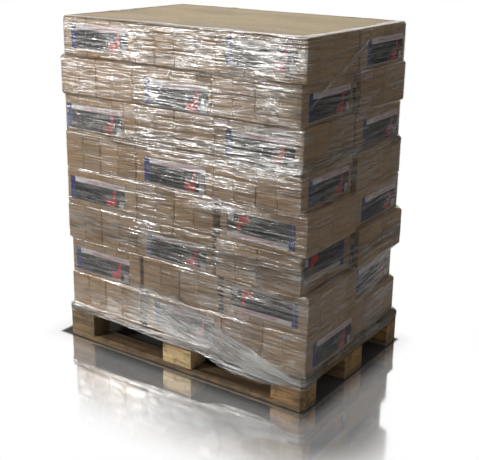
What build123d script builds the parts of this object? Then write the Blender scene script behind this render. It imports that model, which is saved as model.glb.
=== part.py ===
from build123d import *
import os

# Stretch-wrapped pallet load: bundles of pressed-wood briquettes stacked on a flat wooden pallet.
#
# The pallet is a four-way block pallet of boards, blocks and nails. On it stand eight courses of
# bundles. A bundle is twelve briquettes standing on end, two deep, with a paper label on one long
# side, inside a shrunk film bag. Two bundles side by side make a square block, and the blocks of a
# course are laid like parquet, each turned a quarter from its neighbours and from the block below.
# A cardboard sheet covers the top course, and stretch film holds the load to the pallet.
#
# Millimetres. +X runs along the pallet's length, +Y across it and +Z up. The origin is on the
# floor, under the middle of the pallet, and the front is the long side that faces -Y.

# Pallet boards and blocks
PALLET_LENGTH = 1200
PALLET_WIDTH = 800
BOARD_THICK = 22
BLOCK_HEIGHT = 78
WIDE_BOARD = 145
NARROW_BOARD = 100
CORNER_CHAMFER = 15
ENTRY_CHAMFER_HEIGHT = 7
ENTRY_CHAMFER_WIDTH = 14

# Nails: radii, lengths, and how far in from the edges of a joint each kind is driven
NAIL_RADIUS = 2.2
NAIL_HEAD_RADIUS = 4.5
NAIL_HEAD_THICK = 1.5
DECK_NAIL = 90
CLINCH_NAIL = 40
SKID_NAIL = 66
DECK_NAIL_INSET = 22
CLINCH_NAIL_INSET = 28
SKID_NAIL_INSET = 38

# Briquettes, and the bundles that hold them
BRIQUETTE_HEIGHT = 154
BRIQUETTE_DEPTH = 94
BRIQUETTE_WIDTH = 63
BRIQUETTE_CHAMFER = 5
BUNDLE_ROW = 6
BUNDLE_DEEP = 2
BAG_THICK = 0.5
LABEL_THICK = 0.3
LABEL_LEFT_MARGIN = 55
LABEL_RIGHT_MARGIN = 23
LABEL_FOOT_MARGIN = 12
LABEL_HEAD_MARGIN = 38
BUNDLE_GAP = 1

# The stack: blocks in a course, and for each course from the bottom up, how far its front row
# and its back row stand out of line along X, the left and right gaps in its front row, how far it
# stands out of line along Y, and the gap between its rows
COLUMNS = 3
ROWS = 2
BACK_ROW_GAP = 1
COURSES = [
    (9, 7, 35, 3, -1.5, 18),
    (11, -15, 14, 23, 0, 13),
    (-14, 22, 1, 15, 0, 18),
    (-1, -4, 2, 30, -1.5, 18),
    (-19, -2, 1, 1, 0, 15),
    (-17, -16, 1, 1, 1.5, 10),
    (-28, -4, 1, 1, -1, 17),
    (-18, -13, 1, 1, 4.5, 4),
]
# Blocks whose bundles stand on their heads, as (course, column, row)
UPTURNED = {(1, 2, 0), (2, 2, 0), (3, 2, 0)}
# How far the labels of a block have slipped in their bags, along and up, for whoever reads them
LABEL_SLIPS = {
    (0, 1, 0): (-10, 12),
    (1, 0, 0): (-35, 0),
    (1, 2, 0): (15, -9),
    (2, 1, 0): (-3, -5),
    (3, 0, 0): (-38, 5),
    (3, 2, 0): (9, -22),
    (4, 1, 0): (-12, -9),
    (5, 0, 0): (-48, 0),
    (5, 2, 0): (-7, 0),
    (6, 1, 0): (7, -9),
    (7, 0, 0): (-13, 16),
    (7, 2, 0): (-13, 20),
}

# Top sheet and stretch film
SHEET_THICK = 4
SHEET_INSET = 3
FILM_THICK = 1
FILM_CLEARANCE = 0.3
FILM_LIP = 45
FILM_BELOW_DECK = 22

# Heights and sizes that follow
BLOCK_FOOT = BOARD_THICK
CROSS_FOOT = BLOCK_FOOT + BLOCK_HEIGHT
DECK_FOOT = CROSS_FOOT + BOARD_THICK
DECK_TOP = DECK_FOOT + BOARD_THICK
BUNDLE_LENGTH = BUNDLE_ROW * BRIQUETTE_WIDTH + 2 * (LABEL_THICK + BAG_THICK)
BUNDLE_WIDTH = BUNDLE_DEEP * BRIQUETTE_DEPTH + 2 * (LABEL_THICK + BAG_THICK)
BUNDLE_HEIGHT = BRIQUETTE_HEIGHT + 2 * BAG_THICK
BLOCK_SIDE = max(BUNDLE_LENGTH, 2 * BUNDLE_WIDTH + BUNDLE_GAP)
LOAD_TOP = DECK_TOP + len(COURSES) * BUNDLE_HEIGHT

# Places of the pallet's blocks, and of its deck boards across the width
COLUMN_X = {
    "left": -(PALLET_LENGTH - WIDE_BOARD) / 2,
    "middle": 0,
    "right": (PALLET_LENGTH - WIDE_BOARD) / 2,
}
ROW_Y = {
    "front": (-(PALLET_WIDTH - NARROW_BOARD) / 2, NARROW_BOARD),
    "centre": (0, WIDE_BOARD),
    "back": ((PALLET_WIDTH - NARROW_BOARD) / 2, NARROW_BOARD),
}
DECK_GAP = (PALLET_WIDTH - 3 * WIDE_BOARD - 2 * NARROW_BOARD) / 4
INNER_Y = (WIDE_BOARD + NARROW_BOARD) / 2 + DECK_GAP
DECK_Y = {
    "front": (-(PALLET_WIDTH - WIDE_BOARD) / 2, WIDE_BOARD),
    "front_inner": (-INNER_Y, NARROW_BOARD),
    "centre": (0, WIDE_BOARD),
    "back_inner": (INNER_Y, NARROW_BOARD),
    "back": ((PALLET_WIDTH - WIDE_BOARD) / 2, WIDE_BOARD),
}


def slab(x0, x1, y0, y1, z0, z1):
    """A plain box between two corners."""
    return Pos((x0 + x1) / 2, (y0 + y1) / 2, (z0 + z1) / 2) * Box(x1 - x0, y1 - y0, z1 - z0)


def cut_corners(length, width, size):
    """A rectangle with its four corners cut off."""
    outline = Rectangle(length, width)
    return chamfer(outline.vertices(), size)


def meet(a, b):
    """True if two bounding boxes share some volume."""
    return all(
        max(low_a, low_b) < min(high_a, high_b)
        for low_a, low_b, high_a, high_b in zip(a.min, b.min, a.max, b.max)
    )


# ---------------------------------------------------------------- pallet


def deck_board(y, width):
    half = PALLET_LENGTH / 2
    return slab(-half, half, y - width / 2, y + width / 2, DECK_FOOT, DECK_TOP)


def cross_board(x):
    half = WIDE_BOARD / 2
    return slab(x - half, x + half, -PALLET_WIDTH / 2, PALLET_WIDTH / 2, CROSS_FOOT, DECK_FOOT)


def block(x, y, width):
    half_x = WIDE_BOARD / 2
    half_y = width / 2
    return slab(x - half_x, x + half_x, y - half_y, y + half_y, BLOCK_FOOT, CROSS_FOOT)


def skid_board(y, width):
    """A bottom board, its upper edges sloped between the blocks so that wheels ride over it."""
    half = PALLET_LENGTH / 2
    board = slab(-half, half, y - width / 2, y + width / 2, 0, BOARD_THICK)
    columns = list(COLUMN_X.values())
    for left, right in zip(columns, columns[1:]):
        start = left + WIDE_BOARD / 2
        end = right - WIDE_BOARD / 2
        for side in (-1, 1):
            edge = y + side * width / 2
            slope = Polyline(
                (start, edge, BOARD_THICK),
                (start, edge - side * ENTRY_CHAMFER_WIDTH, BOARD_THICK),
                (start, edge, BOARD_THICK - ENTRY_CHAMFER_HEIGHT),
                close=True,
            )
            board -= extrude(make_face(slope), amount=end - start, dir=(1, 0, 0))
    return board


def nail(length):
    """A flat-headed nail that points down, the top of its head at the origin."""
    head = Pos(0, 0, -NAIL_HEAD_THICK / 2) * Cylinder(NAIL_HEAD_RADIUS, NAIL_HEAD_THICK)
    shank = Pos(0, 0, -length / 2) * Cylinder(NAIL_RADIUS, length)
    return head + shank


def deck_nails():
    """Three long nails at each block, through the deck and cross boards into the block."""
    places = []
    for x in COLUMN_X.values():
        for y, width in ROW_Y.values():
            dx = WIDE_BOARD / 2 - DECK_NAIL_INSET
            dy = width / 2 - DECK_NAIL_INSET
            places += [(x - dx, y - dy), (x + dx, y - dy), (x, y + dy)]
    return [Pos(x, y, DECK_TOP) * nail(DECK_NAIL) for x, y in places]


def clinch_nails():
    """Two short nails at each crossing of a narrow deck board with a cross board."""
    places = []
    for x in COLUMN_X.values():
        for name in ("front_inner", "back_inner"):
            y, width = DECK_Y[name]
            dx = WIDE_BOARD / 2 - CLINCH_NAIL_INSET
            dy = width / 2 - CLINCH_NAIL_INSET
            places += [(x - dx, y - dy), (x + dx, y + dy)]
    return [Pos(x, y, DECK_TOP) * nail(CLINCH_NAIL) for x, y in places]


def skid_nails():
    """Three nails at each block, driven up through the skid board into the block."""
    places = []
    for x in COLUMN_X.values():
        for y, width in ROW_Y.values():
            dx = WIDE_BOARD / 2 - SKID_NAIL_INSET
            dy = width / 2 - SKID_NAIL_INSET
            places += [(x - dx, y + dy), (x + dx, y + dy), (x, y - dy)]
    return [Pos(x, y, 0) * Rot(180, 0, 0) * nail(SKID_NAIL) for x, y in places]


def pallet_nodes():
    """Every piece of the pallet. Each board and block has the holes that its nails make."""
    boards = {f"deck_board_{name}": deck_board(*place) for name, place in DECK_Y.items()}
    for column, x in COLUMN_X.items():
        boards[f"cross_board_{column}"] = cross_board(x)
        for row, (y, width) in ROW_Y.items():
            boards[f"block_{row}_{column}"] = block(x, y, width)
    for row, (y, width) in ROW_Y.items():
        boards[f"skid_board_{row}"] = skid_board(y, width)
    nails = {"deck_nails": deck_nails(), "clinch_nails": clinch_nails(), "skid_nails": skid_nails()}
    rim = extrude(cut_corners(PALLET_LENGTH, PALLET_WIDTH, CORNER_CHAMFER), DECK_TOP)
    nodes = {}
    for name, board in boards.items():
        board = board & rim
        box = board.bounding_box()
        driven = [one for group in nails.values() for one in group if meet(one.bounding_box(), box)]
        nodes[name] = board.cut(*driven)
    for name, group in nails.items():
        nodes[name] = Compound(group)
    return nodes


# ---------------------------------------------------------------- bundles


def bundle_briquettes():
    """The twelve briquettes of a bundle that lies along X, their upright edges bevelled."""
    outline = cut_corners(BRIQUETTE_WIDTH, BRIQUETTE_DEPTH, BRIQUETTE_CHAMFER)
    briquette = Pos(0, 0, BAG_THICK) * extrude(outline, BRIQUETTE_HEIGHT)
    grid = GridLocations(BRIQUETTE_WIDTH, BRIQUETTE_DEPTH, BUNDLE_ROW, BUNDLE_DEEP)
    return [place * briquette for place in grid]


def bundle_bag():
    """The film bag shrunk round a bundle, with room for the label on its long sides."""
    outer = extrude(cut_corners(BUNDLE_LENGTH, BUNDLE_WIDTH, BRIQUETTE_CHAMFER), BUNDLE_HEIGHT)
    length = BUNDLE_LENGTH - 2 * BAG_THICK
    width = BUNDLE_WIDTH - 2 * BAG_THICK
    inner = extrude(cut_corners(length, width, BRIQUETTE_CHAMFER), BRIQUETTE_HEIGHT)
    return outer - Pos(0, 0, BAG_THICK) * inner


def bundle_label(upturned, slip):
    """The paper label on the -Y side of a bundle, between the briquettes and the bag."""
    half = BUNDLE_ROW * BRIQUETTE_WIDTH / 2
    face = -BUNDLE_DEEP * BRIQUETTE_DEPTH / 2
    foot = BAG_THICK + LABEL_FOOT_MARGIN
    head = BAG_THICK + BRIQUETTE_HEIGHT - LABEL_HEAD_MARGIN
    label = slab(-half + LABEL_LEFT_MARGIN, half - LABEL_RIGHT_MARGIN, face - LABEL_THICK, face, foot, head)
    if upturned:
        label = Pos(0, 0, BUNDLE_HEIGHT) * Rot(0, 180, 0) * label
    return Pos(slip[0], 0, slip[1]) * label


def block_centre(course, column, row):
    """The middle of the foot of a block of two bundles."""
    front_shift, back_shift, gap_left, gap_right, shift_y, gap_y = COURSES[course]
    shift = (front_shift, back_shift)[row]
    gaps = ((gap_left, gap_right), (BACK_ROW_GAP, BACK_ROW_GAP))[row]
    start = shift - (COLUMNS * BLOCK_SIDE + sum(gaps)) / 2
    x = start + (column + 0.5) * BLOCK_SIDE + sum(gaps[:column])
    y = (row - (ROWS - 1) / 2) * (BLOCK_SIDE + gap_y) + shift_y
    return Vector(x, y, DECK_TOP + course * BUNDLE_HEIGHT)


def bundle_places(course):
    """(place, upturned, slip) of each bundle in a course. Its label faces out of its block."""
    places = []
    offset = (BUNDLE_WIDTH + BUNDLE_GAP) / 2
    for column in range(COLUMNS):
        for row in range(ROWS):
            block = (course, column, row)
            turn = 0 if sum(block) % 2 == 1 else 90
            centre = Pos(block_centre(*block))
            slip = LABEL_SLIPS.get(block, (0, 0))
            for side in (0, 180):
                place = centre * Rot(0, 0, turn + side) * Pos(0, -offset, 0)
                places.append((place, block in UPTURNED, slip))
    return places


def course_nodes(course):
    """The briquettes, bags and labels of one course."""
    places = bundle_places(course)
    briquettes = bundle_briquettes()
    bag = bundle_bag()
    labels = [place * bundle_label(upturned, slip) for place, upturned, slip in places]
    name = f"course_{course + 1}"
    return {
        f"{name}_briquettes": Compound([place * one for place, *_ in places for one in briquettes]),
        f"{name}_bundle_bags": Compound([place * bag for place, *_ in places]),
        f"{name}_labels": Compound(labels),
    }


# ---------------------------------------------------------------- top sheet and stretch film


def course_extent(course):
    """(x0, x1, y0, y1) round a course's bundles."""
    centres = [block_centre(course, c, r) for c in range(COLUMNS) for r in range(ROWS)]
    half = BLOCK_SIDE / 2
    xs = [centre.X for centre in centres]
    ys = [centre.Y for centre in centres]
    return min(xs) - half, max(xs) + half, min(ys) - half, max(ys) + half


def grown(extent, by):
    x0, x1, y0, y1 = extent
    return x0 - by, x1 + by, y0 - by, y1 + by


def top_sheet():
    """The cardboard sheet on the top course."""
    extent = grown(course_extent(len(COURSES) - 1), -SHEET_INSET)
    return slab(*extent, LOAD_TOP, LOAD_TOP + SHEET_THICK)


def stretch_film():
    """One skin of film round the pallet's rim, every course and the edge of the top sheet.

    It lies against the ledges where one course stands out past the next, and just clear of the
    upright sides. Its top is folded in over the sheet, with a window left in the middle.
    """
    pallet = (-PALLET_LENGTH / 2, PALLET_LENGTH / 2, -PALLET_WIDTH / 2, PALLET_WIDTH / 2)
    foot = DECK_FOOT - FILM_BELOW_DECK
    layers = [(pallet, foot, DECK_TOP)]
    for course in range(len(COURSES)):
        low = DECK_TOP + course * BUNDLE_HEIGHT
        layers.append((course_extent(course), low, low + BUNDLE_HEIGHT))
    top = LOAD_TOP + SHEET_THICK
    rim = course_extent(len(COURSES) - 1)
    layers.append((grown(rim, -SHEET_INSET), LOAD_TOP, top))
    skin = slab(*grown(pallet, FILM_CLEARANCE + FILM_THICK), foot, DECK_TOP + FILM_THICK)
    for extent, low, high in layers[1:]:
        reach = grown(extent, FILM_CLEARANCE + FILM_THICK)
        skin += slab(*reach, low - FILM_THICK, high + FILM_THICK)
    for extent, low, high in layers:
        skin -= slab(*grown(extent, FILM_CLEARANCE), low, high)
    return skin - slab(*grown(rim, -FILM_LIP), top, top + FILM_THICK)


def main():
    os.makedirs("parts", exist_ok=True)
    nodes = pallet_nodes()
    for course in range(len(COURSES)):
        nodes.update(course_nodes(course))
    nodes["top_sheet"] = top_sheet()
    nodes["stretch_film"] = stretch_film()
    for name, shape in nodes.items():
        export_step(shape, f"parts/{name}.step")
    print(len(nodes), "nodes, top at", LOAD_TOP + SHEET_THICK + FILM_THICK)


main()
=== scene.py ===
# %% [markdown]
# # A pallet load of briquette bundles under stretch film
# The object is a wooden pallet with eight courses of bundles, a cardboard sheet on top, and clear
# film wound tightly round it all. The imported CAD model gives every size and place. This script puts
# the finished surfaces on that frame: worn wood, pressed sawdust, printed labels, shrunk bags and,
# most of all, the wrinkled film. All lengths are metres, +X runs along the pallet, -Y is its front.

import math

import bmesh
import bpy
import numpy as np
from mathutils import Matrix, Vector


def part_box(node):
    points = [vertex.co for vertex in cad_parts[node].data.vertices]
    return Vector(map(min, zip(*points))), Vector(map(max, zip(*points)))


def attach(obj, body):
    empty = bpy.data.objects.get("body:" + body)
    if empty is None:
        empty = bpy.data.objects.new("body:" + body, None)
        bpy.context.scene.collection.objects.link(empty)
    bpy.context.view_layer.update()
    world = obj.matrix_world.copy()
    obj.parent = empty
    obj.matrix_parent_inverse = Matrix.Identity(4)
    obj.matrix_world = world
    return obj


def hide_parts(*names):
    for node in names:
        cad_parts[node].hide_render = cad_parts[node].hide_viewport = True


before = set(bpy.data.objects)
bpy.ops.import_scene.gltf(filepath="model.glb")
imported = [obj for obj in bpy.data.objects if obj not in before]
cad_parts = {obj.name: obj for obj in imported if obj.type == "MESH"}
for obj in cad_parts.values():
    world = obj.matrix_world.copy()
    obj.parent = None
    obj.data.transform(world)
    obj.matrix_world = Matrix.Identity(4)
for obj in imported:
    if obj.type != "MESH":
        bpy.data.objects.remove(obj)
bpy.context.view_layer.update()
MM = 0.001
COURSES = 8

# %% [markdown]
# ## The camera
# A camera is a place, three angles and a lens. The load is seen from its front right corner, from
# a little over its top. The lens is a short telephoto, so the uprights stay nearly parallel, and a
# small shift frames the load without tilting the camera any further.

# %% Place the camera
CAMERA_PLACE = Vector((2.1209, -3.0368, 1.7487))
CAMERA_YAW, CAMERA_PITCH, CAMERA_ROLL = (math.radians(a) for a in (33.84, 16.79, 1.02))
CAMERA_LENS = 68.625
CAMERA_SHIFT = (-0.0248, -0.0626)


def camera_turn(yaw, pitch, roll):
    """A rotation that looks along +Y, turned left by yaw, down by pitch and then rolled."""
    level = math.cos(pitch)
    ahead = Vector((-math.sin(yaw) * level, math.cos(yaw) * level, -math.sin(pitch)))
    right = Vector((math.cos(yaw), math.sin(yaw), 0))
    above = right.cross(ahead)
    tilted = math.cos(roll) * right + math.sin(roll) * above
    return Matrix((tilted, tilted.cross(ahead), -ahead)).transposed()


lens = bpy.data.cameras.new("view")
lens.lens = CAMERA_LENS
lens.sensor_width = 36
lens.shift_x, lens.shift_y = CAMERA_SHIFT
lens.clip_end = 100
camera = bpy.data.objects.new("view", lens)
camera.matrix_world = Matrix.Translation(CAMERA_PLACE) @ camera_turn(
    CAMERA_YAW, CAMERA_PITCH, CAMERA_ROLL
).to_4x4()
bpy.context.scene.collection.objects.link(camera)
bpy.context.scene.camera = camera
print("camera", round((CAMERA_PLACE - Vector((0, 0, 0.7))).length, 2), "m from the load")

# %% [markdown]
# ## Writing a finish
# A finish is a small tree of nodes. Building one by hand takes many lines, so this helper holds a
# material and adds nodes to it: every method returns a socket that the next one can take. It could
# be done with node groups too, but plain sockets keep each recipe readable from top to bottom.


# %% A helper for finishes
class Finish:
    """A material being made. Each method adds nodes and returns the socket with their result."""

    def __init__(self, name):
        self.material = bpy.data.materials.new(name)
        self.material.use_nodes = True
        self.tree = self.material.node_tree
        self.tree.nodes.clear()

    def add(self, kind, inputs=(), **settings):
        """A node of this kind, with its settings and its inputs, given by name or by number."""
        node = self.tree.nodes.new("ShaderNode" + kind)
        for key, value in settings.items():
            setattr(node, key, value)
        for key, value in dict(inputs).items():
            if isinstance(value, bpy.types.NodeSocket):
                self.tree.links.new(value, node.inputs[key])
            else:
                node.inputs[key].default_value = value
        return node

    def math(self, operation, *values, clamp=False):
        return self.add("Math", enumerate(values), operation=operation, use_clamp=clamp).outputs[0]

    def place(self, scale=(1, 1, 1), source="Object", turn=(0, 0, 0), shift=(0, 0, 0)):
        """Coordinates of the surface, stretched, turned and moved."""
        spot = self.add("TexCoord").outputs[source]
        inputs = {"Vector": spot, "Scale": scale, "Rotation": turn, "Location": shift}
        return self.add("Mapping", inputs).outputs[0]

    def noise(self, where, scale=1.0, detail=2.0, rough=0.5, warp=0.0):
        inputs = {"Vector": where, "Scale": scale, "Detail": detail, "Roughness": rough}
        return self.add("TexNoise", {**inputs, "Distortion": warp}).outputs["Fac"]

    def spread(self, value, low, high, to_low=0.0, to_high=1.0):
        """Stretches the range from low to high to the range from to_low to to_high."""
        inputs = dict(enumerate((value, low, high, to_low, to_high)))
        return self.add("MapRange", inputs, interpolation_type="SMOOTHSTEP").outputs[0]

    def blend(self, share, first, second, mode="MIX"):
        """Two colours mixed by share."""
        settings = {"data_type": "RGBA", "blend_type": mode}
        return self.add("Mix", {0: share, 6: colour(first), 7: colour(second)}, **settings).outputs[2]

    def bump(self, height, depth, strength=1.0, under=None):
        inputs = {"Height": height, "Distance": depth, "Strength": strength}
        if under is not None:
            inputs["Normal"] = under
        return self.add("Bump", inputs).outputs[0]

    def mix(self, share, first, second):
        """Two shaders mixed by share."""
        return self.add("MixShader", {0: share, 1: first, 2: second}).outputs[0]

    def done(self, surface):
        self.add("OutputMaterial", {"Surface": surface})
        print("finish", self.material.name, "with", len(self.tree.nodes), "nodes")
        return self.material


def colour(value):
    """A socket as it is, or three numbers as an opaque colour."""
    return value if isinstance(value, bpy.types.NodeSocket) else (*value, 1.0)


# %% [markdown]
# ## Making a piece
# Every new piece is shaped as a bmesh in its real place, so its object stays at the origin. This
# helper turns the bmesh into an object, gives it its finish, hangs it under the root body and hides
# the plain CAD nodes that it stands for.


# %% A helper for pieces
def make_piece(name, bm, finish, slot, *stands_for, smooth=True):
    """An object from a bmesh, with its finish and the CAD nodes that it replaces. slot is not used."""
    mesh = bpy.data.meshes.new(name)
    bm.to_mesh(mesh)
    bm.free()
    mesh.materials.append(finish)
    mesh.shade_smooth() if smooth else mesh.shade_flat()
    piece = bpy.data.objects.new(name, mesh)
    bpy.context.scene.collection.objects.link(piece)
    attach(piece, "root")
    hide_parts(*stands_for)
    return piece


def cut_loops(bm, axis, places):
    """Cuts the whole bmesh at these places along an axis (0, 1 or 2)."""
    across = Vector([float(i == axis) for i in range(3)])
    for place in places:
        geom = bm.verts[:] + bm.edges[:] + bm.faces[:]
        bmesh.ops.bisect_plane(bm, geom=geom, dist=1e-7, plane_co=across * place, plane_no=across)


def soften_edges(bm, width, segments=2, sharper_than=30):
    """Bevels every edge that is sharper than an angle in degrees."""
    limit = math.radians(sharper_than)
    sharp = [e for e in bm.edges if len(e.link_faces) == 2 and e.calc_face_angle(0) > limit]
    bmesh.ops.bevel(
        bm, geom=sharp, offset=width, offset_type="OFFSET", segments=segments,
        profile=0.5, affect="EDGES", material=-1,
    )


# %% [markdown]
# ## Sawn wood
# Pallet wood is rough-sawn softwood: long pale and dark grain along each board, fine fibres,
# a few knots, rings where the end is cut, and grey dirt. Stretching a noise along the board gives
# the grain, and the direction that a face looks in tells its ends from its sides. A picture of
# wood would be quicker, but nodes fit any size and need no file.

# %% The finish of sawn wood
WOOD_PALE = (0.215, 0.142, 0.066)
WOOD_DARK = (0.075, 0.045, 0.021)
GRIME = (0.055, 0.04, 0.026)


def sawn_wood(name, along, pale, dark, shift=0.0):
    """Softwood with its grain along axis 0, 1 or 2."""
    f = Finish(name)
    stretch = [1.0, 1.0, 1.0]
    stretch[along] = 0.06
    where = f.place(scale=stretch, shift=(shift, shift * 0.7, shift * 1.3))
    grain = f.noise(where, 42, 4, 0.6, 0.6)
    fibres = f.noise(where, 260, 3, 0.7)
    knots_at = [2.4] * 3
    knots_at[along] = 1.1
    knot = f.add("TexVoronoi", {"Vector": f.place(scale=knots_at, shift=(shift,) * 3), "Scale": 5.0})
    knots = f.spread(knot.outputs["Distance"], 0.05, 0.11, 1.0, 0.0)
    wood = f.blend(f.spread(grain, 0.38, 0.66), pale, dark)
    wood = f.blend(f.math("MULTIPLY", f.spread(fibres, 0.5, 0.75), 0.45), wood, dark)
    wood = f.blend(f.math("MULTIPLY", knots, 0.75), wood, [c * 0.35 for c in dark])
    facing = f.add("SeparateXYZ", {0: f.add("NewGeometry").outputs["Normal"]}).outputs[along]
    end = f.spread(f.math("ABSOLUTE", facing), 0.75, 0.9)
    rings = f.noise(f.place(), 95, 3, 0.6, 2.0)
    cut_end = f.blend(f.spread(rings, 0.35, 0.7), [c * 0.92 for c in pale], [c * 0.8 for c in dark])
    wood = f.blend(f.math("MULTIPLY", end, 0.7), wood, cut_end)
    grime = f.spread(f.noise(f.place(), 13, 5, 0.7), 0.42, 0.68)
    wood = f.blend(f.math("MULTIPLY", grime, 0.75), wood, GRIME)
    height = f.math("ADD", f.math("MULTIPLY", grain, 0.6), f.math("MULTIPLY", fibres, 0.6))
    height = f.math("SUBTRACT", height, f.math("MULTIPLY", knots, 0.3))
    rough = f.spread(fibres, 0.3, 0.8, 0.62, 0.92)
    inputs = {"Base Color": wood, "Roughness": rough, "Normal": f.bump(height, 1.2 * MM)}
    return f.done(f.add("BsdfPrincipled", inputs).outputs[0])


wood_long = sawn_wood("wood_long", 0, (0.23, 0.15, 0.072), (0.085, 0.052, 0.026))
wood_cross = sawn_wood("wood_cross", 1, WOOD_PALE, WOOD_DARK, 3.0)
wood_block_pale = sawn_wood("wood_block_pale", 0, (0.61, 0.455, 0.235), (0.3, 0.2, 0.09), 5.0)
wood_block_tan = sawn_wood("wood_block_tan", 0, (0.37, 0.22, 0.085), (0.12, 0.066, 0.028), 8.0)
wood_block_plain = sawn_wood("wood_block_plain", 0, WOOD_PALE, WOOD_DARK, 11.0)

# %% [markdown]
# ## Boards and blocks
# A pallet's boards are knocked about. Each is cut from a cube of its CAD size: loops across it let
# the faces wander by nearly a millimetre, the pallet's outer corners are sliced off, the skid boards'
# upper edges slope between the blocks so that wheels ride over them, and a bevel rounds the rest.

# %% Shape one board or block
WANDER = 0.8 * MM
CORNER_CUT = 15 * MM
ENTRY_DROP, ENTRY_WIDTH = 7 * MM, 14 * MM
LOOP_PITCH = 0.06
PALLET_HALF = Vector((0.6, 0.4))


def slice_corners(bm):
    """Cuts off what lies outside the pallet's four cut corners."""
    inside = PALLET_HALF.x - CORNER_CUT / 2, PALLET_HALF.y - CORNER_CUT / 2
    for sx in (-1, 1):
        for sy in (-1, 1):
            corner = Vector((sx * inside[0], sy * inside[1], 0))
            geom = bm.verts[:] + bm.edges[:] + bm.faces[:]
            bmesh.ops.bisect_plane(
                bm, geom=geom, dist=1e-6, plane_co=corner, plane_no=(sx, sy, 0), clear_outer=True
            )
            bmesh.ops.holes_fill(bm, edges=[e for e in bm.edges if e.is_boundary], sides=0)


def sawn_piece(node, along, finish, entries=()):
    """A worn board or block in the place of a CAD node. entries are spans with sloped edges."""
    rng = np.random.default_rng(sum(map(ord, node)))
    low, high = (Vector(c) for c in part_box(node))
    bm = bmesh.new()
    bmesh.ops.create_cube(bm, size=1)
    size = high - low
    fit = Matrix.LocRotScale((low + high) / 2, None, size)
    bmesh.ops.transform(bm, matrix=fit, verts=bm.verts)
    steps = max(2, round(size[along] / LOOP_PITCH))
    cut_loops(bm, along, [low[along] + size[along] * i / steps for i in range(1, steps)])
    if entries:
        edges = [low.y + ENTRY_WIDTH, high.y - ENTRY_WIDTH]
        cut_loops(bm, 1, edges)
        cut_loops(bm, 0, [x for span in entries for x in (span[0] + MM, span[1] - MM)])
        for v in bm.verts:
            on_edge = min(v.co.y - low.y, high.y - v.co.y) < MM / 2 and v.co.z > high.z - MM / 2
            if on_edge and any(a < v.co.x < b for a, b in entries):
                v.co.z -= ENTRY_DROP
    for v in bm.verts:
        for axis in range(3):
            if axis != along:
                inward = 1 if v.co[axis] < (low[axis] + high[axis]) / 2 else -1
                v.co[axis] += inward * rng.uniform(0, WANDER)
    slice_corners(bm)
    soften_edges(bm, rng.uniform(1.6, 2.6) * MM)
    return make_piece("worn_" + node, bm, finish, "pallet_wood", node, smooth=False)


# %% Make the pallet
columns = ("left", "middle", "right")
spans = []
for a, b in zip(columns, columns[1:]):
    spans.append((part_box(f"block_front_{a}")[1][0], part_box(f"block_front_{b}")[0][0]))
for place in ("front", "front_inner", "centre", "back_inner", "back"):
    sawn_piece(f"deck_board_{place}", 0, wood_long)
for place in columns:
    sawn_piece(f"cross_board_{place}", 1, wood_cross)
for row in ("front", "centre", "back"):
    sawn_piece(f"skid_board_{row}", 0, wood_long, entries=spans)
    for column, finish in zip(columns, (wood_block_plain, wood_block_pale, wood_block_tan)):
        sawn_piece(f"block_{row}_{column}", 0, finish)
print("openings between the blocks", [tuple(round(x, 3) for x in s) for s in spans])

# %% [markdown]
# ## Nails
# The nails stay as CAD made them, and only need a finish: dull drawn steel with brown rust spots.

# %% The finish of the nails
f = Finish("nail_steel")
spots = f.spread(f.noise(f.place(), 900, 3, 0.6), 0.45, 0.65)
steel = f.blend(spots, (0.33, 0.31, 0.29), (0.16, 0.075, 0.035))
dull = f.spread(spots, 0, 1, 0.35, 0.85)
dents = f.bump(f.noise(f.place(), 1500, 2), 0.1 * MM, 0.6)
inputs = {"Base Color": steel, "Roughness": dull, "Metallic": 0.9, "Normal": dents}
nail_steel = f.done(f.add("BsdfPrincipled", inputs).outputs[0])
for node in ("deck_nails", "clinch_nails", "skid_nails"):
    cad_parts[node].material_slots[0].material = nail_steel

# %% [markdown]
# ## Where the bundles stand
# A CAD node holds the twelve bags of a course as loose triangles. Merging a copy of it and walking
# from corner to corner finds each bag, and the bags' boxes then place the briquettes, bags and
# labels. This beats typing in places, because the parquet comes from the CAD model itself.


# %% Find the separate solids in a node
def separate_boxes(node):
    """The low and high corners of each separate shell in a CAD node, in a fixed order."""
    bm = bmesh.new()
    bm.from_mesh(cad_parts[node].data)
    bmesh.ops.remove_doubles(bm, verts=bm.verts, dist=1e-6)
    boxes = []
    for start in bm.verts:
        if start.tag:
            continue
        start.tag = True
        reached = [start]
        for v in reached:
            for other in (e.other_vert(v) for e in v.link_edges):
                if not other.tag:
                    other.tag = True
                    reached.append(other)
        spots = np.array([v.co for v in reached])
        boxes.append((spots.min(0), spots.max(0)))
    bm.free()
    return sorted(boxes, key=lambda box: tuple(np.round(box[0], 4)))


def bags_of(course):
    """The outer box of each bag in a course."""
    boxes = separate_boxes(f"course_{course}_bundle_bags")
    tallest = max(high[2] - low[2] for low, high in boxes)
    return [box for box in boxes if box[1][2] - box[0][2] > tallest - 0.5 * MM]


bags = {course: bags_of(course) for course in range(1, COURSES + 1)}
LOAD_FOOT = float(bags[1][0][0][2])
LOAD_TOP = float(bags[COURSES][0][1][2])
COURSE_HEIGHT = (LOAD_TOP - LOAD_FOOT) / COURSES
print("bags in each course", [len(boxes) for boxes in bags.values()], "course", round(COURSE_HEIGHT, 4))

# %% [markdown]
# ## Briquettes
# A briquette is sawdust pressed in a mould: a block with blunt upright edges and crumbly ends, flat
# brown with darker chips in it. One is shaped from a cube with two bevels and copied into its
# bundle 12 times. There are 1152, so each has only 26 faces. Its own shade goes into a colour
# attribute, because bricks from one press still differ.

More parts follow.
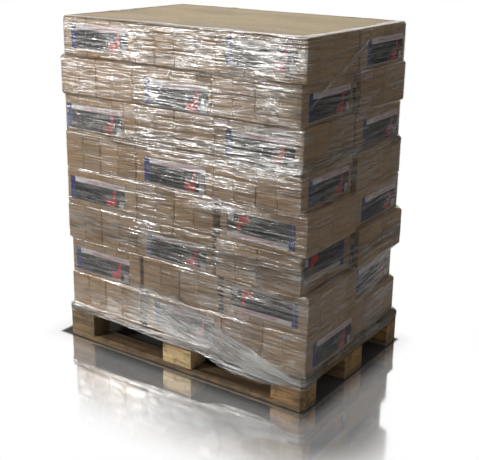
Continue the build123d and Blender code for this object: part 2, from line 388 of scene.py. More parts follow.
# %% The finish of pressed sawdust
f = Finish("pressed_sawdust")
shade = f.add("Attribute", attribute_name="shade").outputs["Fac"]
chips = f.noise(f.place(), 330, 4, 0.75)
flakes = f.noise(f.place(scale=(1, 1, 2.2)), 900, 2, 0.6)
layers = f.noise(f.place(scale=(1, 1, 9)), 12, 3, 0.6)
sawdust = f.blend(f.spread(shade, 0, 1), (0.33, 0.215, 0.115), (0.46, 0.315, 0.18))
sawdust = f.blend(f.math("MULTIPLY", f.spread(chips, 0.5, 0.72), 0.5), sawdust, (0.20, 0.12, 0.062))
sawdust = f.blend(f.math("MULTIPLY", f.spread(flakes, 0.55, 0.8), 0.35), sawdust, (0.62, 0.48, 0.31))
sawdust = f.blend(f.math("MULTIPLY", f.spread(layers, 0.5, 0.75), 0.22), sawdust, (0.24, 0.155, 0.085))
grit = f.bump(f.math("ADD", chips, f.math("MULTIPLY", flakes, 0.5)), 0.8 * MM)
inputs = {"Base Color": sawdust, "Roughness": f.spread(chips, 0.3, 0.7, 0.78, 0.95), "Normal": grit}
pressed_sawdust = f.done(f.add("BsdfPrincipled", inputs).outputs[0])

# %% Shape one briquette and stand twelve in each bag
BRIQUETTE_GRID = (6, 2)
BAG_WALL = 0.8 * MM
BAG_FLOOR = 0.5 * MM
UPRIGHT_BEVEL = 3 * MM
END_BEVEL = 3 * MM


def one_briquette(width, depth, height):
    """A briquette at the origin, width along X."""
    bm = bmesh.new()
    bmesh.ops.create_cube(bm, size=1)
    bmesh.ops.scale(bm, vec=(width, depth, height), verts=bm.verts)
    settings = {"offset_type": "OFFSET", "profile": 0.5, "affect": "EDGES", "material": -1}
    uprights = [e for e in bm.edges if abs(e.verts[0].co.z - e.verts[1].co.z) > height / 2]
    bmesh.ops.bevel(bm, geom=uprights, offset=UPRIGHT_BEVEL, segments=1, **settings)
    rims = [e for e in bm.edges if abs(e.verts[0].co.z - e.verts[1].co.z) < MM]
    bmesh.ops.bevel(bm, geom=rims, offset=END_BEVEL, segments=1, **settings)
    mesh = bpy.data.meshes.new("one_briquette")
    bm.to_mesh(mesh)
    bm.free()
    return mesh


def stand_briquettes(course):
    """All the briquettes of a course as one piece."""
    rng = np.random.default_rng(100 + course)
    middle_place = [(count - 1) / 2 for count in BRIQUETTE_GRID]
    bm = bmesh.new()
    shade = bm.verts.layers.float_color.new("shade")
    for low, high in bags[course]:
        size = high - low
        along = int(size[1] > size[0])
        room = np.array([size[along], size[1 - along]]) - 2 * BAG_WALL
        width, depth = room / BRIQUETTE_GRID
        height = size[2] - 2 * BAG_FLOOR
        one = one_briquette(width, depth, height)
        bundle_shade = rng.uniform(0.25, 0.75)
        for i in range(BRIQUETTE_GRID[0]):
            for j in range(BRIQUETTE_GRID[1]):
                offset = ((i - middle_place[0]) * width, (j - middle_place[1]) * depth, 0)
                turn = Matrix.Rotation(math.pi / 2 * along, 4, "Z")
                place = Matrix.Translation((low + high) / 2) @ turn @ Matrix.Translation(offset)
                place = place @ Matrix.Rotation(math.radians(rng.uniform(-0.25, 0.25)), 4, "Z")
                count = len(bm.verts)
                bm.from_mesh(one)
                bm.verts.ensure_lookup_table()
                new = bm.verts[count:]
                tone = min(max(bundle_shade + rng.uniform(-0.25, 0.25), 0), 1)
                for v in new:
                    v[shade] = (tone, tone, tone, 1)
                bmesh.ops.transform(bm, matrix=place, verts=new)
        bpy.data.meshes.remove(one)
    node = f"course_{course}_briquettes"
    return make_piece(f"pressed_{node}", bm, pressed_sawdust, "briquette_wood", node, smooth=False)


for course in bags:
    bricks = stand_briquettes(course)
print("briquettes of one course:", len(bricks.data.polygons), "faces")

# %% [markdown]
# ## Labels
# Each bundle carries a printed sheet between its briquettes and its bag. It is a thin sheet of
# paper that follows the grooves between the briquettes a little. The print is laid out on the
# label's own UV map, where u runs from its left end to its right and v from foot to head: a dark
# picture, a pale strip with red dashes, a blue end band, a red flame shape and a pale box. It
# carries no words.

# %% The finish of the printed label
f = Finish("printed_label")
spot = f.add("SeparateXYZ", {0: f.add("UVMap", uv_map="print").outputs[0]})
u, v = spot.outputs[0], spot.outputs[1]


def within(value, low, high, edge=0.004):
    """1 between low and high, 0 outside."""
    rise = f.spread(value, low - edge, low + edge)
    return f.math("MULTIPLY", rise, f.spread(value, high - edge, high + edge, 1.0, 0.0))


def near(line, reach, edge=0.012):
    """1 where a distance is under reach."""
    return f.spread(line, f.math("SUBTRACT", reach, edge), f.math("ADD", reach, edge), 1.0, 0.0)


flat = f.place(scale=(3, 1, 1), source="UV")
smoke = f.noise(flat, 7, 5, 0.7, 0.8)
ink = f.blend(f.spread(smoke, 0.4, 0.72), (0.018, 0.02, 0.028), (0.085, 0.085, 0.1))
ribs = f.math("SINE", f.math("MULTIPLY", v, 46.0))
ink = f.blend(f.math("MULTIPLY", f.spread(ribs, 0.2, 1.0), 0.35), ink, (0.012, 0.013, 0.02))
lean = f.math("MULTIPLY", f.math("SUBTRACT", v, 0.4), 0.08)
flicker = f.math("MULTIPLY", f.math("SUBTRACT", f.noise(flat, 9, 3, 0.6), 0.5), 0.16)
flame_line = f.math("SUBTRACT", f.math("SUBTRACT", u, 0.805), lean)
flame_line = f.math("ABSOLUTE", f.math("ADD", flame_line, flicker))
flame = near(flame_line, f.spread(v, 0.0, 0.9, 0.05, 0.012))
ink = f.blend(f.math("MULTIPLY", flame, f.spread(v, 0.78, 0.84, 1.0, 0.0)), ink, (0.55, 0.03, 0.035))
du = f.math("MULTIPLY", f.math("SUBTRACT", u, 0.715), 3.0)
dv = f.math("SUBTRACT", v, 0.2)
ember = f.math("SQRT", f.math("ADD", f.math("MULTIPLY", du, du), f.math("MULTIPLY", dv, dv)))
ink = f.blend(near(f.math("ADD", ember, flicker), 0.16, 0.03), ink, (0.5, 0.04, 0.05))
tag = f.math("MULTIPLY", within(u, 0.9, 0.985), within(v, 0.04, 0.34, 0.01))
ink = f.blend(tag, ink, (0.5, 0.5, 0.52))
strip = f.blend(within(v, 0.8, 0.96, 0.01), (0.62, 0.6, 0.64), (0.68, 0.66, 0.7))
dash_noise = f.noise(f.place(scale=(95, 14, 1), source="UV"), 1.0, 2, 0.6)
dashes = f.math("MULTIPLY", f.spread(dash_noise, 0.48, 0.56), within(v, 0.815, 0.925, 0.01))
dashes = f.math("MULTIPLY", dashes, within(u, 0.3, 0.97))
strip = f.blend(f.math("MULTIPLY", dashes, 0.9), strip, (0.5, 0.06, 0.09))
ink = f.blend(f.spread(v, 0.775, 0.785), ink, strip)
ink = f.blend(f.spread(u, 0.088, 0.092, 1.0, 0.0), ink, (0.03, 0.045, 0.2))
ink = f.blend(f.spread(v, 0.03, 0.04, 1.0, 0.0), ink, (0.5, 0.49, 0.5))
paper = f.bump(f.noise(flat, 160, 2), 0.05 * MM, 0.5)
inputs = {"Base Color": ink, "Roughness": f.spread(smoke, 0.3, 0.7, 0.6, 0.8), "Normal": paper}
inputs["Specular IOR Level"] = 0.2
printed_label = f.done(f.add("BsdfPrincipled", inputs).outputs[0])

# %% Shape the labels of a course
LABEL_DIP = 0.25 * MM
LABEL_THICK = 0.2 * MM
LABEL_STEPS = (60, 10)
# In these courses the bundles at the front right stand on their heads
UPTURNED_COURSES = (2, 3, 4)
UPTURNED_PAST = 0.2


def lay_labels(course):
    """The printed sheets of a course, each turned to face out of its bundle."""
    bm = bmesh.new()
    prints = bm.loops.layers.uv.new("print")
    node = f"course_{course}_labels"
    for low, high in separate_boxes(node):
        middle = (low + high) / 2
        bag = min(bags[course], key=lambda box: np.abs((box[0] + box[1]) / 2 - middle).sum())
        away = middle - (bag[0] + bag[1]) / 2
        thin = int(high[1] - low[1] < high[0] - low[0])
        out = Vector([np.sign(away[i]) * (i == thin) for i in range(3)])
        upturned = course in UPTURNED_COURSES and middle[0] > UPTURNED_PAST and middle[1] < 0
        up = Vector((0, 0, -1.0 if upturned else 1.0))
        right = up.cross(out)
        half = Vector((high - low) / 2)
        length, tall = half[1 - thin], half.z
        count, faces = len(bm.verts), len(bm.faces)
        x_steps, y_steps = LABEL_STEPS
        bmesh.ops.create_grid(bm, x_segments=x_steps, y_segments=y_steps, size=1, calc_uvs=True)
        bm.verts.ensure_lookup_table()
        bm.faces.ensure_lookup_table()
        new = bm.verts[count:]
        centre = (bag[0] + bag[1]) / 2
        pitch = (bag[1] - bag[0])[1 - thin] / BRIQUETTE_GRID[0]
        for vert in new:
            across, rise = vert.co.x * length, vert.co.y * tall
            spot = Vector(middle) + right * across + up * rise
            phase = (spot[1 - thin] - centre[1 - thin]) / pitch
            dip = LABEL_DIP * (0.5 + 0.5 * math.cos(2 * math.pi * phase)) ** 6
            vert.co = spot + out * (half[thin] - dip)
        for face in bm.faces[faces:]:
            for loop in face.loops:
                at = loop.vert.co - Vector(middle)
                loop[prints].uv = (0.5 + at.dot(right) / length / 2, 0.5 + at.dot(up) / tall / 2)
    piece = make_piece(f"printed_{node}", bm, printed_label, "label_paper", node)
    body = piece.modifiers.new("paper", "SOLIDIFY")
    body.thickness = LABEL_THICK
    body.offset = -1
    return piece


for course in bags:
    printed = lay_labels(course)
print("labels of one course:", len(printed.data.polygons), "faces before their thickness")

# %% [markdown]
# ## Shrunk bags
# Heat pulls each bag tight over its briquettes. Its rims turn round, it dips into the grooves
# between the briquettes, and it is covered in small creases. A cube gets loops where those grooves
# and rims are, then its vertices move: first onto a rounded box, then in at each groove.


# %% Shape one bag
BAG_RIM = 8 * MM
GROOVE_DIP = 0.7 * MM
GROOVE_REACH = 6 * MM
# Loops at these distances from a rim and from the middle of a groove, in millimetres
RIM_CUTS = (0.6, 2.3, 4.8, 8.0)
GROOVE_CUTS = (-9, -5, -2, 0, 2, 5, 9)


def bag_cuts(half, count):
    """Places for loops along one side of a bag that has count briquettes in it."""
    rims = [side * (half - cut * MM) for side in (-1, 1) for cut in RIM_CUTS]
    pitch = 2 * half / count
    grooves = [(k - count / 2) * pitch + cut * MM for k in range(1, count) for cut in GROOVE_CUTS]
    return rims + grooves


def groove_depth(spot, half, count):
    """How far the bag dips at this spot along a side with count briquettes in it."""
    pitch = 2 * half / count
    dips = [((spot - (k - count / 2) * pitch) / GROOVE_REACH) ** 2 for k in range(1, count)]
    return GROOVE_DIP * math.exp(-min(dips))


def one_bag(size):
    """A bag at the origin with its long side along X."""
    half = Vector(size) / 2
    bm = bmesh.new()
    bmesh.ops.create_cube(bm, size=1)
    bmesh.ops.scale(bm, vec=size, verts=bm.verts)
    cut_loops(bm, 0, bag_cuts(half.x, BRIQUETTE_GRID[0]))
    cut_loops(bm, 1, bag_cuts(half.y, BRIQUETTE_GRID[1]))
    cut_loops(bm, 2, bag_cuts(half.z, 1) + [-0.04, 0, 0.04])
    for v in bm.verts:
        core = Vector([max(-h + BAG_RIM, min(h - BAG_RIM, c)) for c, h in zip(v.co, half)])
        out = v.co - core
        v.co = core + out.normalized() * BAG_RIM
        on_side = abs(core.y) + BAG_RIM > half.y - MM / 10
        on_end = abs(core.x) + BAG_RIM > half.x - MM / 10
        dip_x = groove_depth(v.co.x, half.x, BRIQUETTE_GRID[0]) * (0 if on_end else 1)
        dip_y = groove_depth(v.co.y, half.y, BRIQUETTE_GRID[1]) * (0 if on_side else 1)
        v.co -= out.normalized() * max(dip_x, dip_y)
    mesh = bpy.data.meshes.new("one_bag")
    bm.to_mesh(mesh)
    bm.free()
    return mesh


# %% Put the bags on their bundles
BAG_CREASE = 0.35 * MM
CREASE_REACH = 0.09


def shrink_bags(course, finish):
    """All the bags of a course as one piece, each point drawn in a little by its own crease."""
    rng = np.random.default_rng(200 + course)
    node = f"course_{course}_bundle_bags"
    bm = bmesh.new()
    for low, high in bags[course]:
        size = high - low
        along = int(size[1] > size[0])
        one = one_bag((size[along], size[1 - along], size[2]))
        count = len(bm.verts)
        bm.from_mesh(one)
        bpy.data.meshes.remove(one)
        bm.verts.ensure_lookup_table()
        new = bm.verts[count:]
        for v in new:
            v.co *= 1 - BAG_CREASE * rng.random() / CREASE_REACH
        turn = Matrix.Rotation(math.pi / 2 * along, 4, "Z")
        bmesh.ops.transform(bm, matrix=Matrix.Translation((low + high) / 2) @ turn, verts=new)
    bmesh.ops.recalc_face_normals(bm, faces=bm.faces)
    return make_piece(f"shrunk_{node}", bm, finish, "bag_film", node)


# %% [markdown]
# ## The look of clear film
# Clear film hardly shows itself. What shows is the light it mirrors: wrinkles under tension turn
# that into thin bright streaks, all running the way the film is wound, with dark ones between them
# where it lies close to the load. So the finish is mostly a Transparent shader. The streaks take a
# share of it for a pale surface, which is a painted highlight, or a dark one, which is painted
# shade, and a gloss that follows the angle of view lies over both. Glass would also do, but its bent
# rays cost time and the film is too thin to bend them.


# %% The finish of clear film
def clear_film(name, source, haze, painted_streak_strength, gloss, streak_shade=0.75, wrinkled=None):
    """Clear plastic film. Its streaks run level, along u on a UV map. wrinkled names an attribute."""
    f = Finish(name)

    def streaked(along, up, detail, shift=0.0):
        """A noise drawn out along the web: along and up are how many lumps there are to a metre."""
        scale = (along, up, 1) if source == "UV" else (along, along, up)
        return f.noise(f.place(scale=scale, source=source, shift=(shift,) * 3), 1.0, detail, 0.6, 0.25)

    def crests(lumps, sharp):
        """Thin lines where a noise passes its middle value, 0 to 1."""
        line = f.math("MULTIPLY", f.math("ABSOLUTE", f.math("SUBTRACT", lumps, 0.5)), sharp)
        return f.math("POWER", f.math("SUBTRACT", 1.0, line, clamp=True), 2.0)

    amount = f.add("Attribute", attribute_name=wrinkled).outputs["Fac"] if wrinkled else 1.0
    broad = streaked(2.2, 52, 4)
    fine = streaked(5, 120, 3, 3.1)
    hair = streaked(8, 330, 2, 7.7)
    crease = f.noise(f.place(source=source), 55, 3, 0.7, 0.4)
    long_lines, short_lines = crests(broad, 16), crests(fine, 15)
    dark_lines = crests(streaked(3, 60, 4, 9.3), 15)
    height = f.math("MULTIPLY_ADD", fine, 0.4, f.math("MULTIPLY", hair, 0.08))
    height = f.math("MULTIPLY_ADD", long_lines, 0.1, f.math("MULTIPLY_ADD", broad, 0.7, height))
    height = f.math("MULTIPLY_ADD", crease, 0.08, height)
    normal = f.bump(height, 13 * MM, f.math("MULTIPLY", amount, 0.9, clamp=True))
    patches = f.spread(f.noise(f.place(source=source), 4.0, 3, 0.6), 0.36, 0.66)
    # Bright streak lines: a painted highlight in the pale share, and a larger gloss share.
    painted_highlight_streaks = f.math("MAXIMUM", long_lines, f.math("MULTIPLY", short_lines, 0.8))
    painted_highlight_streaks = f.math("MULTIPLY", painted_highlight_streaks, f.math("MULTIPLY_ADD", patches, 0.75, 0.25))
    painted_highlight_streaks = f.math("MULTIPLY", painted_highlight_streaks, f.math("MULTIPLY", amount, painted_streak_strength), clamp=True)
    # Dark streak lines between the bright ones: painted shade.
    dark = f.math("MULTIPLY", dark_lines, f.math("MULTIPLY", amount, streak_shade * painted_streak_strength))
    dark = f.math("MULTIPLY", dark, f.math("SUBTRACT", 1.0, painted_highlight_streaks), clamp=True)
    haze_and_painted_streaks = f.math("ADD", f.math("ADD", painted_highlight_streaks, haze), dark, clamp=True)
    painted_shade_share = f.math("DIVIDE", dark, f.math("ADD", haze_and_painted_streaks, 0.001))
    # The pale share is coloured as painted highlight, turning to dark painted shade on the dark lines.
    tone = f.blend(painted_shade_share, (0.86, 0.84, 0.8), (0.06, 0.045, 0.03))
    pale = f.add("BsdfPrincipled", {"Base Color": tone, "Roughness": 0.45, "Normal": normal})
    clear = f.add("BsdfTransparent", {"Color": (0.98, 0.975, 0.965, 1)})
    body = f.mix(haze_and_painted_streaks, clear.outputs[0], pale.outputs[0])
    mirror = f.add("Fresnel", {"IOR": 1.45, "Normal": normal}).outputs[0]
    share = f.math("MULTIPLY", mirror, f.math("MULTIPLY_ADD", painted_highlight_streaks, 5.5 * gloss, 0.2 * gloss))
    share = f.math("MINIMUM", share, 0.6)
    shine = f.add("BsdfAnisotropic", {
        "Color": (1, 1, 1, 1), "Roughness": f.spread(crease, 0.3, 0.7, 0.12, 0.24), "Normal": normal,
    })
    return f.done(f.mix(share, body, shine.outputs[0]))


bag_film = clear_film("bag_film", "Object", 0.005, 0.08, 0.4)
for course in bags:
    shrunk = shrink_bags(course, bag_film)
print("bags of one course:", len(shrunk.data.polygons), "faces")

# %% [markdown]
# ## The cardboard sheet
# A stiff sheet keeps the film from biting into the top course. It lies a little uneven on the
# briquettes, so it is a thin block with loops in it whose top wanders by less than a millimetre.

# %% The finish of kraft card
FLUTE_PITCH = 7 * MM
f = Finish("kraft_card")
across = f.add("SeparateXYZ", {0: f.place()}).outputs[1]
flutes = f.math("SINE", f.math("MULTIPLY", across, 2 * math.pi / FLUTE_PITCH))
fibre = f.noise(f.place(scale=(1, 6, 1)), 60, 4, 0.7)
stains = f.spread(f.noise(f.place(scale=(0.8, 2.5, 1)), 3.0, 4, 0.6, 0.4), 0.4, 0.7)
card = f.blend(f.spread(fibre, 0.35, 0.7), (0.42, 0.33, 0.2), (0.33, 0.255, 0.15))
card = f.blend(f.math("MULTIPLY", stains, 0.65), card, (0.24, 0.2, 0.135))
# Each flute's hollow is painted a little darker: painted shade of the corrugation.
card = f.blend(f.spread(flutes, -1, 1, 0.0, 0.1), card, (0.2, 0.15, 0.09))
height = f.math("ADD", f.math("MULTIPLY", flutes, 0.2), fibre)
inputs = {"Base Color": card, "Roughness": f.spread(fibre, 0.3, 0.7, 0.6, 0.8)}
inputs["Normal"] = f.bump(height, 0.4 * MM)
kraft_card = f.done(f.add("BsdfPrincipled", inputs).outputs[0])

# %% Lay the sheet
SHEET_WANDER = 0.9 * MM
SHEET_PITCH = 0.03
low, high = (Vector(c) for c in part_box("top_sheet"))
SHEET_TOP = high.z
bm = bmesh.new()
bmesh.ops.create_cube(bm, size=1)
fit = Matrix.LocRotScale((low + high) / 2, None, high - low)
bmesh.ops.transform(bm, matrix=fit, verts=bm.verts)
for axis in (0, 1):
    cut_loops(bm, axis, np.arange(low[axis] + SHEET_PITCH, high[axis] - 0.01, SHEET_PITCH))
rng = np.random.default_rng(7)
waves = rng.uniform(-1, 1, (6, 3)) * (14, 14, math.pi)
for v in bm.verts:
    if v.co.z > SHEET_TOP - MM:
        swell = np.mean([math.sin(a * v.co.x + b * v.co.y + c) for a, b, c in waves])
        v.co.z += SHEET_WANDER * (swell - 0.6)
soften_edges(bm, 0.8 * MM)
sheet = make_piece("card_top_sheet", bm, kraft_card, "sheet_card", "top_sheet")
print("card sheet", [round(c, 3) for c in high - low])

# %% [markdown]
# ## Stretch film
# The film is a web about half a metre wide, wound round and round. It touches only what stands out
# furthest, so from above its outline at each height is the courses' outline with every hollow
# bridged. Up and down it follows the rounded rims of the bundles and slopes across each step.
# Three bands of turns are made: at the foot, the waist and the top, each a grid that is carried
# onto that surface. Fine wrinkles are real relief in the mesh: a noise with a long reach round the
# load and a short one up it.

# %% Stations round the load
CORNER_ROUND = 8 * MM
SIDE_STEP, CORNER_STEP, CORNER_ZONE = 12 * MM, 3 * MM, 36 * MM
HALF_X, HALF_Y = 0.579, 0.388
GIRTH = 4 * (HALF_X + HALF_Y)
CORNER_STATIONS = np.cumsum([HALF_X, 2 * HALF_Y, 2 * HALF_X, 2 * HALF_Y])


def girth_stations():
    """Distances round the load from the middle of its back, closer together at the corners."""
    marks = list(np.arange(0, GIRTH, SIDE_STEP))
    for corner in CORNER_STATIONS:
        marks = [m for m in marks if abs(m - corner) > CORNER_ZONE]
        marks += list(np.arange(corner - CORNER_ZONE, corner + CORNER_ZONE + MM, CORNER_STEP))
    return np.array(sorted(marks) + [GIRTH])


def plan_spot(station):
    """Where a station lies on the reference rectangle, seen from above."""
    a, b, c, d = CORNER_STATIONS
    x = np.interp(station, [0, a, b, c, d, GIRTH], [0, -HALF_X, -HALF_X, HALF_X, HALF_X, 0])
    y = np.interp(station, [0, a, b, c, d, GIRTH], [HALF_Y, HALF_Y, -HALF_Y, -HALF_Y, HALF_Y, HALF_Y])
    return x, y


STATIONS = girth_stations()
AROUND = np.arctan2(*plan_spot(STATIONS)[::-1])
print(len(STATIONS), "stations round", round(GIRTH, 3), "m")

# %% [markdown]
# The outline of a course is its bags' corners, each grown into a circle, with a tight string round
# them. How far that string is from the middle in a given direction is the least, over all straight
# edges that could touch it, of the distance to that edge.


# %% How far out the film lies
def string_reach(corners, rounding, around):
    """Distance from the middle to a string pulled round the corners, for each direction."""
    turns = np.radians(np.arange(0, 360, 0.5))
    faces = np.stack([np.cos(turns), np.sin(turns)])
    support = (corners @ faces).max(0) + rounding
    facing = np.stack([np.cos(around), np.sin(around)], 1) @ faces
    return np.where(facing > 0.01, support / np.maximum(facing, 0.01), 9).min(1)


def box_corners(boxes, shrink):
    """The corners of boxes seen from above, each drawn in by shrink."""
    return np.array([
        (x + shrink * sx, y + shrink * sy)
        for low, high in boxes
        for x, sx in ((low[0], 1), (high[0], -1))
        for y, sy in ((low[1], 1), (high[1], -1))
    ])


HEIGHT_STEP = MM
BRIDGE_SLOPE = 1.1
heights = np.arange(0, SHEET_TOP + HEIGHT_STEP, HEIGHT_STEP)
FILM_OFF = 0.6 * MM
pallet_corners = np.array([
    (sx * (PALLET_HALF.x - a), sy * (PALLET_HALF.y - b))
    for sx in (-1, 1) for sy in (-1, 1) for a, b in ((0, CORNER_CUT), (CORNER_CUT, 0))
])
hull = np.full((len(heights), len(STATIONS)), 0.1)
hull[heights <= LOAD_FOOT] = string_reach(pallet_corners, 1.5 * MM, AROUND)
for course in bags:
    reach = string_reach(box_corners(bags[course], CORNER_ROUND), CORNER_ROUND + FILM_OFF, AROUND)
    foot = LOAD_FOOT + (course - 1) * COURSE_HEIGHT
    inside = (heights > foot) & (heights <= foot + COURSE_HEIGHT)
    to_rim = np.minimum(heights - foot, foot + COURSE_HEIGHT - heights)[inside]
    depth = CORNER_ROUND - np.clip(to_rim, 0, CORNER_ROUND)
    rim = CORNER_ROUND - np.sqrt(CORNER_ROUND**2 - depth**2)
    hull[inside] = reach[None, :] - rim[:, None]
for order in (range(1, len(heights)), range(len(heights) - 2, -1, -1)):
    for i in order:
        before = i - 1 if order.step > 0 else i + 1
        hull[i] = np.maximum(hull[i], hull[before] - BRIDGE_SLOPE * HEIGHT_STEP)
print("film reaches", round(float(hull.max()), 3), "m from the middle at its corners")

# %% [markdown]
# Wrinkles come from filtered noise. White noise is taken to its frequencies, all but those of the
# wanted lengths are damped, and it is taken back. A tilt makes the wrinkles climb. Because the
# frequencies wrap round, the pattern meets itself where the web closes.


# %% Wrinkles
FIELD_UP, FIELD_ROUND = 2 * MM, 8 * MM


def wrinkle_field(rng, height, reach_up, reach_round, tilt=0.0):
    """A random relief round the load, about -3 to 3, sampled every 2 mm up and 8 mm round."""
    rows, cols = int(height / FIELD_UP) + 8, int(GIRTH / FIELD_ROUND)
    up = np.fft.fftfreq(rows, FIELD_UP)[:, None]
    round_ = np.fft.fftfreq(cols, GIRTH / cols)[None, :]
    shape = (reach_up * up) ** 2 + (reach_round * (round_ + tilt * up)) ** 2
    keep = np.exp(-2 * math.pi**2 * shape) * (1 - np.exp(-2 * math.pi**2 * (2.5 * reach_up * up) ** 2))
    field = np.fft.ifft2(np.fft.fft2(rng.standard_normal((rows, cols))) * keep).real
    return field / field.std()


def read_field(field, above, station):
    """A relief read at heights above its foot and stations, between its samples."""
    rows, cols = field.shape
    r, c = np.clip(above / FIELD_UP, 0, rows - 1.001), station / GIRTH * cols
    r0, c0 = r.astype(int), np.floor(c).astype(int)
    fr, fc = r - r0, c - c0
    left, right = c0 % cols, (c0 + 1) % cols
    lower = field[r0, left] * (1 - fc) + field[r0, right] * fc
    upper = field[r0 + 1, left] * (1 - fc) + field[r0 + 1, right] * fc
    return lower * (1 - fr) + upper * fr


def ridged(field):
    """Sharp crests with smooth hollows between them, from 0 to 1."""
    return np.clip(1 - np.abs(field) * 1.4, 0, 1) ** 1.5


# %% Carry a grid onto the load
BAND_ROWS, LIP_ROWS = 215, 26
FOLD_BEND = 7 * MM
# The lower edge hangs over the front right opening: how deep, how far along from the front's
# middle, and its half width
HANG_DEPTH, HANG_PLACE, HANG_REACH = 0.045, 0.33, 0.17


def foot_hang(station):
    """How far down the lower edge hangs at each station."""
    along = station - CORNER_STATIONS[1] - HALF_X
    return HANG_DEPTH * np.exp(-(((along - HANG_PLACE) / HANG_REACH) ** 4))


def wind_band(name, foot, head, above_bags, seed, finish, lip=0.0, hangs=False):
    """One band of turns from a wavy foot to a wavy head. lip is how far its head folds in."""
    rng = np.random.default_rng(seed)
    tall = head - foot
    rows, cols = BAND_ROWS, len(STATIONS)
    up = np.linspace(0, 1, rows)[:, None]
    stations = np.broadcast_to(STATIONS[None, :], (rows, cols))
    turn = 2 * math.pi * STATIONS / GIRTH
    wave = 5 * MM * np.sin(3 * turn + seed) + 4 * MM * np.sin(7 * turn + 2 * seed)
    low_edge = foot + wave - (foot_hang(STATIONS) if hangs else 0)
    high_edge = np.full(cols, head) if lip else head - wave
    z = low_edge + up * (high_edge - low_edge)
    at = np.clip((z / HEIGHT_STEP).astype(int), 0, len(heights) - 2)
    part = z / HEIGHT_STEP - at
    cols_at = np.broadcast_to(np.arange(cols)[None, :], (rows, cols))
    reach = hull[at, cols_at] * (1 - part) + hull[at + 1, cols_at] * part
    above = z - foot + 0.03
    fine = ridged(read_field(wrinkle_field(rng, tall + 0.08, 0.003, 0.08), above, stations))
    slant = ridged(read_field(wrinkle_field(rng, tall + 0.08, 0.006, 0.16, 0.10), above, stations))
    broad = read_field(wrinkle_field(rng, tall + 0.08, 0.014, 0.2, -0.05), above, stations)
    patch = read_field(wrinkle_field(rng, tall + 0.08, 0.09, 0.3), above, stations)
    strength = np.clip(0.8 + 0.35 * patch, 0.25, 1.6)
    relief = strength * (0.8 * MM * fine + 0.6 * MM * slant) + 0.3 * MM * np.abs(broad)
    reach = reach + above_bags + relief
    x, y = reach * np.cos(AROUND), reach * np.sin(AROUND)
    height = z.copy()
    v = z.copy()
    if lip:
        t = np.linspace(0, 1, LIP_ROWS + 1)[1:, None]
        edge = lip * (1 + 0.25 * np.sin(5 * turn) + 0.2 * np.sin(11 * turn + 1))
        inward = t * edge
        rise = (SHEET_TOP + 1.2 * MM - head) * np.clip(inward / FOLD_BEND, 0, 1) ** 0.5
        around = np.broadcast_to(STATIONS, inward.shape)
        crumple = read_field(wrinkle_field(rng, 0.12, 0.008, 0.012), inward + 0.02, around)
        lift = np.abs(crumple) * MM * np.clip((inward - FOLD_BEND) / 0.02, 0, 1)
        shrink = 1 - inward / np.hypot(x[-1], y[-1])
        x = np.vstack([x, x[-1] * shrink])
        y = np.vstack([y, y[-1] * shrink])
        height = np.vstack([height, head + rise + lift])
        v = np.vstack([v, head + inward])
    return film_sheet(name, x, y, height, v, finish, STATIONS, wrinkle_amount(x, y, height))


# %% [markdown]
# How wrinkled the film is varies from place to place, and with it how strong its painted highlight
# and shade streaks are. The front is the most wrinkled, in patches, and the right end is nearly
# smooth. Each point of a sheet keeps its own amount in an attribute.

# %% Where the film is wrinkled
# Patches on the front that strengthen or weaken the wrinkles and their painted highlight and shade
# streaks: x, z, reach along x, reach along z, and strength, which may be less than none
GLINTS = [
    (0.07, 1.34, 0.07, 0.05, 0.9), (0.42, 1.31, 0.15, 0.055, 0.9), (0.36, 1.17, 0.14, 0.05, 0.4),
    (0.42, 1.06, 0.16, 0.022, 0.9), (0.42, 1.0, 0.12, 0.03, 0.4), (0.44, 0.905, 0.14, 0.022, 1.1),
    (0.28, 0.735, 0.13, 0.016, 1.0), (0.545, 0.60, 0.04, 0.03, 0.8), (-0.12, 1.22, 0.05, 0.10, 0.3),
    (0.33, 0.405, 0.09, 0.014, 0.8), (0.05, 0.25, 0.14, 0.04, 0.3), (0.33, 0.10, 0.13, 0.02, 0.9),
    (-0.47, 1.31, 0.12, 0.06, -0.62), (-0.1, 1.18, 0.12, 0.05, -0.35), (0.45, 0.36, 0.14, 0.05, -0.55),
    (0.48, 0.5, 0.14, 0.05, -0.2), (0.45, 1.175, 0.1, 0.04, -0.15), (-0.45, 0.7, 0.12, 0.3, -0.12),
]


def wrinkle_amount(x, y, z):
    """How wrinkled the film is at each place, and so how strong its painted streaks are: most on the
    front, least on the tight right end.
    """
    on_front = 1 / (1 + np.exp((y + 0.37) / 0.006))
    on_right = 1 / (1 + np.exp((0.535 - x) / 0.006)) * (1 - on_front)
    on_lip = np.clip((z - LOAD_TOP + 3 * MM) / (3 * MM), 0, 1)
    amount = 0.7 + 0.1 * np.clip(x / 0.5, -1, 1) * on_front - 0.27 * on_right + 0.5 * on_lip
    for gx, gz, rx, rz, strength in GLINTS:
        amount += strength * on_front * np.exp(-(((x - gx) / rx) ** 2) - ((z - gz) / rz) ** 2)
    return amount / 2


# %% Make one sheet of film
def film_sheet(name, x, y, z, v, finish, u, amount):
    """Film through rows of points, mapped in metres along and up the web. A closed one is joined."""
    rows, cols = x.shape
    bm = bmesh.new()
    bmesh.ops.create_grid(bm, x_segments=cols - 1, y_segments=rows - 1, size=1)
    web = bm.loops.layers.uv.new("web")
    wrinkled = bm.verts.layers.float_color.new("wrinkled")
    for vert in bm.verts:
        i = round((vert.co.y + 1) / 2 * (rows - 1))
        j = round((vert.co.x + 1) / 2 * (cols - 1))
        vert.co = (x[i, j], y[i, j], z[i, j])
        vert[wrinkled] = (amount[i, j],) * 3 + (1,)
        for loop in vert.link_loops:
            loop[web].uv = (u[j], v[i, j])
    bmesh.ops.remove_doubles(bm, verts=[w for w in bm.verts if w.is_boundary], dist=1e-5)
    return make_piece(name, bm, finish, "stretch_film", "stretch_film")


